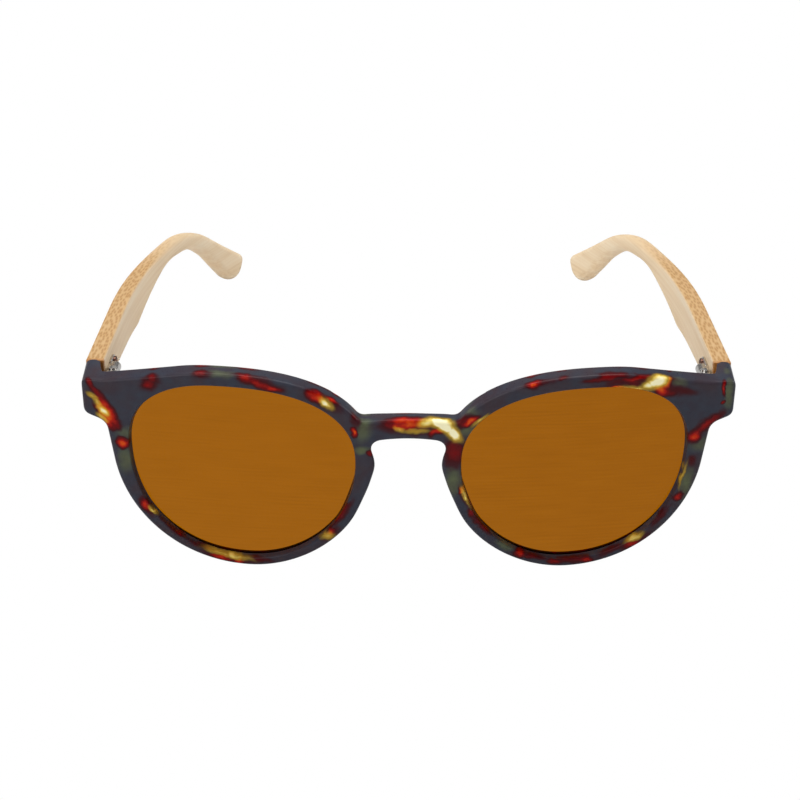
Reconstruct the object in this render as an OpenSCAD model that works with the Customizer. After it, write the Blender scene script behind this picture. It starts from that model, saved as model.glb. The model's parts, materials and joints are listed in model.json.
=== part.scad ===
// Sunglasses with a moulded front, tinted lenses and bamboo temples on sprung hinges.
// Millimetres. The part stands as it rests on a table: front facing -Y, temples running to +Y,
// the rim bottoms and the temple tips both on z = 0.

/* [Lens opening] */
// width of one lens opening
lens_width = 50.5; // [46:0.5:54]
// height of one lens opening
lens_height = 46; // [41:0.2:48]
// gap between the two openings
bridge_gap = 23.5; // [22:0.5:27]
// depth of the groove that holds the lens edge
groove_depth = 0.8; // [0.5:0.1:1.2]
// lens thickness
lens_thick = 1.8; // [1.6:0.1:2]
// how far the lens sits behind the front face
lens_recess = 1.6; // [1.4:0.1:1.8]

/* [Front] */
// overall width of the front
front_width = 144; // [141:0.5:150]
// front to back depth of the rim
rim_depth = 4; // [3.8:0.1:5]
// rim width above the lens
rim_top = 3.1; // [2.6:0.1:4.1]
// rim width beside the lens
rim_side = 3.9; // [3.4:0.1:4.9]
// rim width below the lens
rim_bottom = 2.2; // [1.8:0.1:3.3]
// radius of the front seen from above
face_curve_r = 430; // [380:10:520]
// how far the bridge's top lies below the rim's highest point
bridge_drop = 10.4; // [9:0.2:11]
// height of the bridge bar
bridge_height = 5; // [4.6:0.2:6.6]
// forward lean of the front against the temples, in degrees
panto_angle = 12.2; // [9:0.2:13]
// depth of the end piece behind the front face
end_depth = 7.5; // [7:0.1:8]
// how far the end piece's top lies below the rim's highest point
end_drop = 3.8; // [3.2:0.2:4.4]
// width of the end piece's back face
end_face = 5.9; // [5.5:0.1:6.2]
// height of the end piece
end_height = 8.8; // [8.2:0.2:10]
// how far the moulded nose pads stand behind the rim
pad_depth = 3.2; // [2:0.2:4]

/* [Temples] */
// length of a temple along its straight part and tip
temple_length = 147; // [143:1:149]
// thickness of the wood
temple_thick = 4.1; // [3.8:0.1:4.6]
// height just behind the hinge
root_height = 8.0; // [7.6:0.1:8.6]
// height at the lower corner, the tallest place of the straight part
corner_height = 10; // [9:0.2:10.6]
// height at the waist in front of the ear bend
waist_height = 4.3; // [4:0.1:6]
// width of the paddle behind the ear bend
paddle_width = 8.2; // [7.6:0.2:9.2]
// where the lower corner lies behind the hinge
corner_place = 56; // [50:1:58]
// where the waist starts
waist_place = 91; // [90:1:100]
// where the top edge turns down to the tip
ear_place = 112; // [110:0.5:114]
// where the temple starts to curve inwards
inward_start = 39; // [36:1:44]
// radius of the inward curve
inward_r = 296; // [286:2:330]
// downward angle of the tip
ear_angle = 27.5; // [25:0.5:30]
// radius of the upper edge at the ear bend
ear_r = 62; // [50:1:75]

/* [Hinge] */
// radius of the hinge knuckles
knuckle_r = 1.25; // [1.2:0.05:1.3]
// radius of the hinge screw
pin_r = 0.6; // [0.5:0.05:0.65]
// how far the pin lies behind the end piece
pin_back = 1.8; // [1.75:0.05:2]
// how far the pin lies inside the temple's inner face
pin_inset = 1.4; // [1.35:0.05:1.6]
// travel of the sprung slider
spring_travel = 0.9; // [0.5:0.1:1.1]
// turns of the hinge spring
spring_turns = 5; // [4:1:6]

/* [Clearances] */
// between pieces that stay together
seat_gap = 0.03; // [0.02:0.01:0.05]
// radial play of a turning or sliding piece
run_gap = 0.05; // [0.03:0.01:0.08]
// between the temple's end and the end piece
butt_gap = 0.08; // [0.05:0.01:0.15]

/* [Hidden] */
$fn = 48;
STEPS = 18;

// fullness of the four quarters of the lens opening and of the rim: 2 is an ellipse, more is squarer
LENS_FULL = [2.31, 2.37, 2, 2.16];
RIM_FULL = [2.45, 2.37, 1.92, 2.05];

// lens opening: where its highest, lowest, outermost and innermost points lie, as shares of it
peak_share = 0.6;
low_share = 0.48;
out_share = 0.63;
in_share = 0.583;
lens_in = bridge_gap / 2;
lens_out = lens_in + lens_width;
lens_low = rim_bottom;
lens_high = rim_bottom + lens_height;
peak_u = lens_in + peak_share * lens_width;
low_u = lens_in + low_share * lens_width;
out_v = lens_low + out_share * lens_height;
in_v = lens_low + in_share * lens_height;

// bridge, end piece and hinge places on the front
fillet_r = 2.4;
brow_lead = 4;
brow_dip = 0.15;
end_top_r = 1;
end_low_r = 1.6;
flank_r = 4;
flank_out = 1.2;
flank_drop = 1.6;
half_width = front_width / 2;
rim_peak = lens_high + rim_top;
bridge_top = rim_peak - bridge_drop;
bridge_low = bridge_top - bridge_height;
end_top = rim_peak - end_drop;
end_low = end_top - end_height;
hinge_v = (end_top + end_low) / 2;
end_sag = half_width * half_width / (2 * face_curve_r);
butt_w = end_sag + end_depth;

// temple and pin places, in a frame with its origin on the butt face
temple_out = half_width;
temple_in = temple_out - temple_thick;
pin_x = temple_in - pin_inset;
half_end = end_height / 2;

// end piece behind the rim: the wall beside the hinge leaf, the lap into the rim, the inner chamfer
leaf_wall = 1.05;
block_lap = 0.5;
block_lip = 0.4;
block_bevel = 2.6;
block_below = 1;
end_in = pin_x - knuckle_r - leaf_wall;

// nose pad: its bow seen from the side and the stretch of rim that it covers
pad_r = 14;
pad_drop = 7;
pad_reach = 11;
pad_lens_side = 4;

// hinge stack heights, measured from the middle of the eye
eye_half = 0.7;
knuckle_low = -2.4;
knuckle_top = 1.8;
head_r = 1.05;
head_h = 0.5;
slot_w = 0.3;

// spring unit lengths, measured back from the pin
housing_front = pin_back + 0.1;
wall = 0.7;
rod_r = 0.45;
coil_r = 0.68;
wire_r = 0.15;
channel_r = 0.95;
collar_r = 0.85;
collar_len = 0.6;
spring_from = housing_front + wall;
spring_slack = 0.8;
spring_to = spring_from + 2 * wire_r * spring_turns + spring_travel + spring_slack;
rod_end = spring_to + collar_len + 0.2;
channel_end = rod_end + 0.15;
housing_end = channel_end + 0.4;
housing_half = 1.5;
housing_proud = 1.3;
housing_sink = 0.7;
tail_proud = 0.5;
fix_r = 0.5;
fix_head_r = 1.1;
fix_head_h = 0.75;
fix_len = 2.8;
screw_gap = 2;
screw_back = housing_end + fix_head_r + screw_gap;
base_len = 1.6;

// one quarter of a superellipse about c, from angle 90 * q on
function quarter(c, a, b, full, q) =
    [for (i = [0 : STEPS - 1])
        let (t = 90 * (q + i / STEPS), s = 2 / full)
        [c[0] + a * sign(cos(t)) * pow(abs(cos(t)), s),
         c[1] + b * sign(sin(t)) * pow(abs(sin(t)), s)]];

// the lens opening grown by given amounts at its top, sides and bottom
function ring(top, side, bottom, full = LENS_FULL) = concat(
    quarter([peak_u, out_v], lens_out + side - peak_u, lens_high + top - out_v, full[0], 0),
    quarter([peak_u, in_v], peak_u - lens_in + side, lens_high + top - in_v, full[1], 1),
    quarter([low_u, in_v], low_u - lens_in + side, in_v - lens_low + bottom, full[2], 2),
    quarter([low_u, out_v], lens_out + side - low_u, out_v - lens_low + bottom, full[3], 3));

// the arc that rounds corner b between a and c
function corner(a, b, c, r) =
    let (p = [a[0] - b[0], a[1] - b[1]],
         q = [c[0] - b[0], c[1] - b[1]],
         pu = p / norm(p),
         qu = q / norm(q),
         half = acos(pu * qu) / 2,
         mid = (pu + qu) / norm(pu + qu),
         o = [b[0], b[1]] + mid * r / sin(half),
         from = [b[0], b[1]] + pu * r / tan(half) - o,
         sweep = 180 - 2 * half,
         turn = sign(from[0] * -mid[1] + from[1] * mid[0]),
         n = max(2, ceil(sweep / 6)))
    [for (i = [0 : n])
        let (t = turn * sweep * i / n)
        o + [from[0] * cos(t) - from[1] * sin(t), from[0] * sin(t) + from[1] * cos(t)]];

// a closed outline from corners [x, y, radius]
function rounded(pts) =
    [for (i = [0 : len(pts) - 1])
        each pts[i][2] == 0 ? [[pts[i][0], pts[i][1]]]
            : corner(pts[(i + len(pts) - 1) % len(pts)], pts[i], pts[(i + 1) % len(pts)], pts[i][2])];

// the side outline of a temple: distance behind the butt face, height above the middle
paddle_flat = 7.5;
heel_lead = 1;
neck_drop = 1.6;
hollow_share = 0.47;
hollow_lift = 1.2;
hollow_r = 30;
tip_r = 2.2;
tip_low_r = 4.6;
heel_r = 8;
arch_r = 36;
waist_r = 60;
corner_r = 18;
root_r = 20;
root_place = 12;
edge_r = 0.4;
tip_top = [temple_length, half_end - (temple_length - ear_place) * tan(ear_angle)];
tip_low = tip_top - paddle_width * [sin(ear_angle), cos(ear_angle)];
heel = tip_low + paddle_flat * [-cos(ear_angle), sin(ear_angle)];
neck = [ear_place + heel_lead, half_end - waist_height - neck_drop];
hollow = neck + hollow_share * (heel - neck) + [0, hollow_lift];
temple_side = rounded([
    [butt_gap, half_end, edge_r],
    [ear_place, half_end, ear_r],
    [tip_top[0], tip_top[1], tip_r],
    [tip_low[0], tip_low[1], tip_low_r],
    [heel[0], heel[1], heel_r],
    [hollow[0], hollow[1], hollow_r],
    [neck[0], neck[1], arch_r],
    [waist_place, half_end - waist_height, waist_r],
    [corner_place, half_end - corner_height, corner_r],
    [root_place, half_end - root_height, root_r],
    [butt_gap, edge_r - half_end, edge_r]]);

// the strip that a temple fills seen from above
bend = asin((temple_length + 5 - inward_start) / inward_r);
function plan_arc(r) =
    [for (i = [0 : 2 * STEPS])
        let (t = bend * i / (2 * STEPS))
        [temple_out - inward_r + r * cos(t), inward_start + r * sin(t)]];
temple_plan = concat([[temple_out, -1]], plan_arc(inward_r),
    [for (i = [2 * STEPS : -1 : 0]) plan_arc(inward_r - temple_thick)[i]], [[temple_in, -1]]);

// how the part stands: the pitch that puts the rim bottoms and the tips on one level
function front_yz(v, w) =
    [(w - butt_w) * cos(panto_angle) - (v - hinge_v) * sin(panto_angle),
     (w - butt_w) * sin(panto_angle) + (v - hinge_v) * cos(panto_angle)];
function sag(u) = face_curve_r - sqrt(face_curve_r * face_curve_r - u * u);
rim_line = [for (p = ring(rim_top, rim_side, rim_bottom, RIM_FULL), d = [0, rim_depth])
    front_yz(p[1], sag(p[0]) + d)];
function level(p, a) = p[1] * cos(a) - p[0] * sin(a);
function reach(p, a) = p[0] * cos(a) + p[1] * sin(a);
function lowest(pts, a) = min([for (p = pts) level(p, a)]);
function pitch(lo, hi, n) =
    let (mid = (lo + hi) / 2)
    n == 0 ? mid
    : lowest(rim_line, mid) < lowest(temple_side, mid) ? pitch(mid, hi, n - 1)
    : pitch(lo, mid, n - 1);
rest_pitch = pitch(0, 25, 30);
lift = -lowest(rim_line, rest_pitch);
back_y = max([for (p = temple_side) reach(p, rest_pitch)]);
front_y = reach(front_yz(bridge_top, 0), rest_pitch);
mid_y = (front_y + back_y) / 2;

// from the hinge frame to the table
module rest() {
    translate([0, -mid_y, lift])
        rotate([-rest_pitch, 0, 0])
            children();
}

// from the front's own frame (x across, y back, z up from the rim bottom) to the hinge frame
module front_pose() {
    rotate([panto_angle, 0, 0])
        translate([0, -butt_w, -hinge_v])
            children();
}

// side is 1 for the right-hand piece, -1 for the left-hand one
module sided(side) {
    mirror([side < 0 ? 1 : 0, 0, 0])
        children();
}

module both() {
    children();
    mirror([1, 0, 0])
        children();
}

// an outline of the front as a bar from depth y0 back to y1
module bar(y0, y1) {
    translate([0, y1, 0])
        rotate([90, 0, 0])
            linear_extrude(y1 - y0)
                children();
}

// the bent sheet between two depths behind the front face
module sheet(d0, d1) {
    translate([0, face_curve_r, -20]) {
        difference() {
            cylinder(r = face_curve_r - d0, h = 100, $fn = 180);
            translate([0, 0, -1])
                cylinder(r = face_curve_r - d1, h = 102, $fn = 180);
        }
    }
}

module end_outline() {
    polygon(rounded([
        [peak_u + brow_lead, rim_peak - brow_dip, 0],
        [half_width, end_top, end_top_r],
        [half_width, end_low, end_low_r],
        [lens_out + rim_side + flank_out, end_low - flank_drop, flank_r],
        [lens_out + rim_side, out_v - 1, 0]]));
}

// the front seen from ahead, with the lens openings still filled
module front_outline() {
    offset(r = -fillet_r)
        offset(r = fillet_r)
            both() {
                polygon(ring(rim_top, rim_side, rim_bottom, RIM_FULL));
                end_outline();
                translate([-1, bridge_low])
                    square([lens_in - 1, bridge_height]);
            }
}

// the space behind the rim that the end piece fills, to past the butt face
module end_zone() {
    translate([0, 0, end_low - block_below])
        linear_extrude(rim_peak - end_low + 2 * block_below)
            polygon([
                [end_in, sag(end_in) + rim_depth - block_lap],
                [half_width + 1, sag(half_width) + rim_depth - block_lap],
                [half_width + 1, butt_w + half_end],
                [half_width - end_face, butt_w + half_end],
                [half_width - end_face, butt_w - block_lip],
                [end_in, butt_w - block_lip - block_bevel]]);
}

// the space behind the nasal rim that the moulded nose pad fills, rounded off above and below
module nose_zone() {
    intersection() {
        translate([lens_in - rim_side - 1, 1, in_v - pad_drop - pad_reach])
            cube([rim_side + 1 + pad_lens_side, rim_depth + 2 * pad_depth, 2 * pad_reach]);
        translate([0, rim_depth + pad_depth - pad_r, in_v - pad_drop])
            rotate([0, 90, 0])
                cylinder(r = pad_r, h = lens_out, $fn = 96);
    }
}

module leaf_base(gap) {
    translate([-knuckle_r - gap, -pin_back - base_len - gap, knuckle_low - gap])
        cube([2 * knuckle_r - 0.35 + 2 * gap, base_len + 0.05 + gap, knuckle_top - knuckle_low + 2 * gap]);
}

module hinge_pose() {
    translate([pin_x, pin_back, 0])
        children();
}

module front_frame() {
    color([0.2, 0.18, 0.2])
        rest()
            difference() {
                front_pose()
                    difference() {
                        intersection() {
                            bar(-1, 20)
                                front_outline();
                            union() {
                                sheet(0, rim_depth);
                                both() {
                                    end_zone();
                                    nose_zone();
                                }
                            }
                        }
                        both()
                            difference() {
                                bar(-1, 20)
                                    polygon(ring(0, 0, 0));
                                end_zone();
                            }
                        intersection() {
                            bar(-1, 20)
                                both()
                                    polygon(ring(groove_depth + seat_gap, groove_depth + seat_gap,
                                                 groove_depth + seat_gap));
                            sheet(lens_recess - seat_gap, lens_recess + lens_thick + seat_gap);
                        }
                    }
                both() {
                    translate([end_in - 1, 0, -2 * end_height])
                        cube([3 * end_face, 2 * end_height, 4 * end_height]);
                    hinge_pose()
                        leaf_base(seat_gap);
                }
            }
}

module lens(side) {
    color([0.64, 0.38, 0.1])
        rest()
            front_pose()
                sided(side)
                    intersection() {
                        bar(-1, 20)
                            polygon(ring(groove_depth, groove_depth, groove_depth));
                        sheet(lens_recess, lens_recess + lens_thick);
                    }
}

// the block of the spring housing and its tail, grown by a gap for the pocket in the wood
module housing_block(gap) {
    translate([-housing_proud - gap, housing_front - gap, -housing_half - gap])
        cube([housing_proud + pin_inset + housing_sink + 2 * gap,
              housing_end - housing_front + 2 * gap,
              2 * housing_half + 2 * gap]);
    translate([pin_inset - tail_proud - gap, housing_end - 0.1, -housing_half - gap])
        cube([tail_proud + housing_sink + 2 * gap, screw_back - housing_end + 0.1, 2 * housing_half + 2 * gap]);
    translate([pin_inset - tail_proud - gap, screw_back, 0])
        rotate([0, 90, 0])
            cylinder(r = housing_half + gap, h = tail_proud + housing_sink + 2 * gap);
}

module fix_shank(r, h) {
    translate([pin_inset - tail_proud, screw_back, 0])
        rotate([0, 90, 0])
            cylinder(r = r, h = h);
}

module temple(side) {
    color([0.85, 0.68, 0.46])
        rest()
            sided(side)
                difference() {
                    intersection() {
                        rotate([90, 0, 90])
                            linear_extrude(half_width + 10)
                                polygon(temple_side);
                        translate([0, 0, -60])
                            linear_extrude(120)
                                polygon(temple_plan);
                    }
                    hinge_pose() {
                        housing_block(seat_gap);
                        fix_shank(fix_r + seat_gap, tail_proud + fix_len + 0.1);
                    }
                }
}

module front_leaf(side) {
    color([0.74, 0.74, 0.76])
        rest()
            sided(side)
                hinge_pose()
                    difference() {
                        union() {
                            leaf_base(0);
                            for (z = [[knuckle_low, -eye_half - run_gap], [eye_half + run_gap, knuckle_top]]) {
                                translate([0, 0, z[0]])
                                    cylinder(r = knuckle_r, h = z[1] - z[0]);
                                translate([-knuckle_r, -pin_back - 0.5, z[0]])
                                    cube([2 * knuckle_r - 0.35, pin_back + 0.5, z[1] - z[0]]);
                            }
                        }
                        translate([0, 0, knuckle_low - 1])
                            cylinder(r = pin_r + seat_gap, h = 10);
                        translate([0, 0, -eye_half - run_gap])
                            cylinder(r = knuckle_r + 0.3, h = 2 * eye_half + 2 * run_gap);
                    }
}

module hinge_screw(side) {
    color([0.68, 0.68, 0.7])
        rest()
            sided(side)
                hinge_pose()
                    difference() {
                        union() {
                            translate([0, 0, knuckle_low])
                                cylinder(r = pin_r, h = knuckle_top - knuckle_low + 0.1);
                            translate([0, 0, knuckle_top + seat_gap])
                                cylinder(r = head_r, h = head_h);
                        }
                        translate([-slot_w / 2, -2, knuckle_top + head_h - 0.25])
                            cube([slot_w, 4, 1]);
                    }
}

module slider(side) {
    color([0.72, 0.72, 0.74])
        rest()
            sided(side)
                hinge_pose()
                    difference() {
                        union() {
                            translate([0, 0, -eye_half])
                                cylinder(r = knuckle_r, h = 2 * eye_half);
                            translate([-eye_half, 0, -eye_half])
                                cube([2 * eye_half, housing_front - run_gap, 2 * eye_half]);
                            rotate([-90, 0, 0])
                                cylinder(r = rod_r, h = rod_end);
                        }
                        translate([0, 0, -2])
                            cylinder(r = pin_r + run_gap, h = 4);
                    }
}

// a level cut through a helical wire: round across the coil, drawn out along it
function coil_cut(pitch) =
    let (n = 8, half = 360 * wire_r / pitch)
    [for (i = [0 : 2 * n - 1])
        let (t = 180 * i / n, a = half * cos(t), r = coil_r + wire_r * sin(t))
        [r * cos(a), r * sin(a)]];

module spring(side) {
    length = spring_to - spring_from - 2 * seat_gap;
    color([0.6, 0.6, 0.62])
        rest()
            sided(side)
                hinge_pose()
                    translate([0, spring_from + seat_gap, 0])
                        rotate([-90, 0, 0])
                            linear_extrude(length, twist = -360 * spring_turns,
                                           slices = 16 * spring_turns, $fn = 8)
                                polygon(coil_cut(length / spring_turns));
}

module spring_collar(side) {
    color([0.66, 0.62, 0.5])
        rest()
            sided(side)
                hinge_pose()
                    translate([0, spring_to, 0])
                        rotate([-90, 0, 0])
                            difference() {
                                cylinder(r = collar_r, h = collar_len);
                                translate([0, 0, -1])
                                    cylinder(r = rod_r + seat_gap, h = 3);
                            }
}

module housing(side) {
    color([0.76, 0.76, 0.78])
        rest()
            sided(side)
                hinge_pose()
                    difference() {
                        housing_block(0);
                        translate([0, housing_front - 1, 0])
                            rotate([-90, 0, 0])
                                cylinder(r = rod_r + run_gap, h = wall + 2);
                        translate([0, spring_from, 0])
                            rotate([-90, 0, 0])
                                cylinder(r = channel_r, h = channel_end - spring_from);
                        translate([0, spring_from, -channel_r])
                            cube([10, channel_end - spring_from, 2 * channel_r]);
                        fix_shank(fix_r + seat_gap, 10);
                    }
}

module housing_screw(side) {
    color([0.6, 0.58, 0.56])
        rest()
            sided(side)
                hinge_pose()
                    difference() {
                        union() {
                            fix_shank(fix_r, tail_proud + fix_len);
                            translate([pin_inset - tail_proud - fix_head_h - seat_gap, screw_back, 0])
                                rotate([0, 90, 0])
                                    cylinder(r = fix_head_r, h = fix_head_h);
                            translate([pin_inset - tail_proud - 0.2, screw_back, 0])
                                rotate([0, 90, 0])
                                    cylinder(r = fix_r, h = 0.4);
                        }
                        translate([pin_inset - tail_proud - fix_head_h - 0.6, screw_back - slot_w / 2, -2])
                            cube([0.9, slot_w, 4]);
                    }
}

front_frame();
lens(-1);  // lens_left
lens(1);  // lens_right
temple(-1);  // temple_left
temple(1);  // temple_right
front_leaf(-1);  // front_leaf_left
front_leaf(1);  // front_leaf_right
hinge_screw(-1);  // hinge_screw_left
hinge_screw(1);  // hinge_screw_right
slider(-1);  // slider_left
slider(1);  // slider_right
spring(-1);  // spring_left
spring(1);  // spring_right
spring_collar(-1);  // spring_collar_left
spring_collar(1);  // spring_collar_right
housing(-1);  // housing_left
housing(1);  // housing_right
housing_screw(-1);  // housing_screw_left
housing_screw(1);  // housing_screw_right
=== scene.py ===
# %% [markdown]
# # Sunglasses with bamboo temples
# A moulded tortoiseshell front holds two amber lenses. Each temple is a strip of laminated bamboo
# that folds on a small sprung steel hinge. This lesson dresses the measured frame of the object:
# the leaves, sliders and collars of the hinges stay as they are and get a finish, and all other
# pieces are made again as smooth surfaces.

# %% Load the measured frame
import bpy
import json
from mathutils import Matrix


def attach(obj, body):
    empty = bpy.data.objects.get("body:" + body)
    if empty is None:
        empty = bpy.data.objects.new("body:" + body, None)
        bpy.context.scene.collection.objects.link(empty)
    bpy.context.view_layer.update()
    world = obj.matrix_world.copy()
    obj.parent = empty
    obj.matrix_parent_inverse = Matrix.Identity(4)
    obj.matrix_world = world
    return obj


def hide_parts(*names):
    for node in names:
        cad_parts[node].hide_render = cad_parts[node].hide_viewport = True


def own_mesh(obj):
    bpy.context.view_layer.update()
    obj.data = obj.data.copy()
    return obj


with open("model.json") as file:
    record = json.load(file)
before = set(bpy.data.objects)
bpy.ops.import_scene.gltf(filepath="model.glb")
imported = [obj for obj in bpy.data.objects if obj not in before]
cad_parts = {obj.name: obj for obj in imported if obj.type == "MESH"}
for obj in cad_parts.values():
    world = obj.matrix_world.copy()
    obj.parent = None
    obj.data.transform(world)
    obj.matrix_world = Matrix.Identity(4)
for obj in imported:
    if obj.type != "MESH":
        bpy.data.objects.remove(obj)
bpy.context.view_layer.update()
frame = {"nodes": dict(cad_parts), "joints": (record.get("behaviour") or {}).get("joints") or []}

import json
import math

import bmesh
import bpy
import numpy as np
from mathutils import Matrix
from mathutils.geometry import delaunay_2d_cdt

# %% [markdown]
# ## Where things are
# Sizes are written in millimetres and turned to metres when a mesh is made. The two fold joints of
# the frame give the pins of the hinges, and the pin's direction gives the way the glasses lean on
# the table. From them come two systems of places: the hinge's own, with its origin between the two
# butt faces where front and temples meet, and the front's own, which leans forward a little more.

# %% Hinge places
MM = 0.001
SIDES = ((-1, "left"), (1, "right"))
PIN_BACK = 1.8
joints = {joint["name"]: joint for joint in frame["joints"]}
pin = np.array(joints["right_fold"]["pos_m"]) / MM
UP = np.array(joints["right_fold"]["axis"])
UP = UP * np.sign(UP[2])
ACROSS = np.array([1.0, 0.0, 0.0])
BACK = np.cross(UP, ACROSS)
PIN_X = pin[0]
hinge_origin = pin - PIN_X * ACROSS - PIN_BACK * BACK


def place(x, back, up):
    """Hinge place to metres: origin plus x across, back along the temples and up along the pins."""
    x, back, up = np.broadcast_arrays(x, back, up)
    return MM * (hinge_origin + x[..., None] * ACROSS + back[..., None] * BACK + up[..., None] * UP)


def pin_place(side, out, back, up):
    """Place near the left or right pin to metres: out to the side, back and up, all from the pin."""
    return place(side * (PIN_X + out), PIN_BACK + back, up)


print("pins at", np.round(pin, 2), "mm, lean", round(math.degrees(math.asin(UP[1])), 2), "degrees")

# %% Places on the front
FRONT_LEAN = math.radians(12.2)
FACE_CURVE_R = 430.0
HALF_WIDTH = 72.0
END_DEPTH = 7.5
HINGE_V = 43.1
BUTT_W = HALF_WIDTH ** 2 / (2 * FACE_CURVE_R) + END_DEPTH


def sag(u):
    """How far the bent front falls back at u from its middle: a circle's height."""
    return FACE_CURVE_R - np.sqrt(FACE_CURVE_R ** 2 - u ** 2)


def front_place(u, v, depth):
    """Front place to metres: u across, v up the face, depth behind the bent face, then leaned."""
    back = sag(u) + depth - BUTT_W
    up = v - HINGE_V
    lean_cos, lean_sin = math.cos(FRONT_LEAN), math.sin(FRONT_LEAN)
    return place(u, back * lean_cos - up * lean_sin, back * lean_sin + up * lean_cos)


print("butt faces lie", round(BUTT_W, 2), "mm behind the middle of the face")

# %% [markdown]
# ## Outlines
# The lens opening is four quarters of a superellipse, a shape between an ellipse and a rectangle.
# The rim is the same shape grown outwards. The outline of the whole front runs along the bridge,
# round a fillet, under the rim, out to the end piece, over the brow and back. Fillets are found as
# a designer does it: both curves are shifted by the radius, and the centre is where they cross.

# %% Curve helpers
FILLET_STEPS, CORNER_STEPS = 24, 16


def even(points, spacing, closed=True):
    """The same polyline with points at equal steps of its length."""
    path = np.vstack([points, points[:1]]) if closed else points
    length = np.concatenate([[0], np.cumsum(np.linalg.norm(np.diff(path, axis=0), axis=1))])
    count = max(3, int(round(length[-1] / spacing)))
    at = np.linspace(0, length[-1], count, endpoint=not closed)
    return np.stack([np.interp(at, length, path[:, axis]) for axis in range(path.shape[1])], axis=1)


def soften(points, passes):
    """A closed polyline whose points move to the mean of themselves and their neighbours."""
    for _ in range(passes):
        points = (np.roll(points, 1, axis=0) + 2 * points + np.roll(points, -1, axis=0)) / 4
    return points


def left_normal(points, closed=True):
    """Unit vectors to the left of a polyline's way of going."""
    if closed:
        along = np.roll(points, -1, axis=0) - np.roll(points, 1, axis=0)
    else:
        along = np.gradient(points, axis=0)
    along = along / np.linalg.norm(along, axis=1, keepdims=True)
    return np.stack([-along[:, 1], along[:, 0]], axis=1)


def fillet(first, second, radius):
    """Joins two open curves, both with the solid on their left, by a hollow arc of this radius."""
    from_first = first - radius * left_normal(first, closed=False)
    from_second = second - radius * left_normal(second, closed=False)
    apart = np.linalg.norm(from_first[:, None] - from_second[None], axis=2)
    i, j = np.unravel_index(np.argmin(apart), apart.shape)
    centre = (from_first[i] + from_second[j]) / 2
    start = math.atan2(*(first[i] - centre)[::-1])
    turn = math.atan2(*(second[j] - centre)[::-1]) - start
    turn = (turn + math.pi) % (2 * math.pi) - math.pi
    angle = start + turn * np.linspace(0, 1, FILLET_STEPS)
    arc = centre + radius * np.stack([np.cos(angle), np.sin(angle)], axis=1)
    return np.vstack([first[:i], arc, second[j + 1:]])


def rounded(corners):
    """A polyline through corners (x, y, radius), each corner turned into an arc that touches its sides."""
    parts = []
    for before, corner, after in zip(corners, corners[1:], corners[2:]):
        here, radius = np.array(corner[:2]), corner[2]
        back = np.array(before[:2]) - here
        on = np.array(after[:2]) - here
        back, on = back / np.linalg.norm(back), on / np.linalg.norm(on)
        half = math.acos(np.clip(back @ on, -1, 1)) / 2
        middle = (back + on) / np.linalg.norm(back + on)
        centre = here + middle * radius / math.sin(half)
        start = here + back * radius / math.tan(half) - centre
        stop = here + on * radius / math.tan(half) - centre
        share = np.linspace(0, 1, CORNER_STEPS)[:, None]
        chord = start * (1 - share) + stop * share
        parts.append(centre + radius * chord / np.linalg.norm(chord, axis=1, keepdims=True))
    return np.vstack(parts)


# %% Lens opening and rim
LENS_IN, LENS_OUT = 11.75, 62.25
LENS_LOW, LENS_HIGH = 2.2, 48.2
PEAK_U, LOW_U = 42.05, 36.0
OUT_V, IN_V = 31.2, 29.0
LENS_FULL = (2.31, 2.37, 2.0, 2.16)
RIM_FULL = (2.45, 2.37, 1.92, 2.05)
RIM_TOP, RIM_SIDE, RIM_LOW = 3.1, 3.9, 2.2
QUARTER_STEPS, OPENING_STEP = 80, 0.5


def quarter(centre, half_u, half_v, fullness, number):
    """A quarter of a superellipse: cosine and sine raised to two over the fullness."""
    angle = math.pi / 2 * (number + np.linspace(0, 1, QUARTER_STEPS, endpoint=False))
    power = 2 / fullness
    bend_u = np.sign(np.cos(angle)) * np.abs(np.cos(angle)) ** power
    bend_v = np.sign(np.sin(angle)) * np.abs(np.sin(angle)) ** power
    return np.stack([centre[0] + half_u * bend_u, centre[1] + half_v * bend_v], axis=1)


def lens_ring(top, side, low, fullness=LENS_FULL):
    """The lens opening grown at its top, sides and bottom, starting at its outer side, turning left."""
    return np.vstack([
        quarter((PEAK_U, OUT_V), LENS_OUT + side - PEAK_U, LENS_HIGH + top - OUT_V, fullness[0], 0),
        quarter((PEAK_U, IN_V), PEAK_U - LENS_IN + side, LENS_HIGH + top - IN_V, fullness[1], 1),
        quarter((LOW_U, IN_V), LOW_U - LENS_IN + side, IN_V - LENS_LOW + low, fullness[2], 2),
        quarter((LOW_U, OUT_V), LENS_OUT + side - LOW_U, OUT_V - LENS_LOW + low, fullness[3], 3)])


opening = even(lens_ring(0, 0, 0), OPENING_STEP)
print("lens opening:", len(opening), "points,", np.ptp(opening, axis=0).round(1), "mm")

# %% Outline of the front
BRIDGE_TOP, BRIDGE_LOW = 40.9, 35.9
BRIDGE_ARCH_R, NOTCH_ARCH_R = 70.0, 38.0
BRIDGE_FILLET, NOTCH_FILLET = 1.8, 2.4
END_TOP, END_LOW = 47.5, 38.7
FLANK = (67.1, 36.8, 3.0)
END_LOW_CORNER = (HALF_WIDTH, END_LOW, 1.6)
END_TOP_CORNER = (HALF_WIDTH, END_TOP, 1.2)
BROW = (66.5, 47.75, 14.0)
# the nose edge waves a little: sideways shift, height of its middle, half height of the wave
NOSE_WAVES = [(0.25, 33.0, 1.5), (-0.42, 28.6, 2.6), (0.5, 19.0, 5.0)]
RIM_STEP, OUTLINE_STEP, OUTLINE_PASSES = 0.1, 0.45, 2
LEAST_RUN, BROW_SHORT = 0.01, 2.0
ARCH_REACH, ARCH_STEPS = LENS_IN + 4, 320

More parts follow.
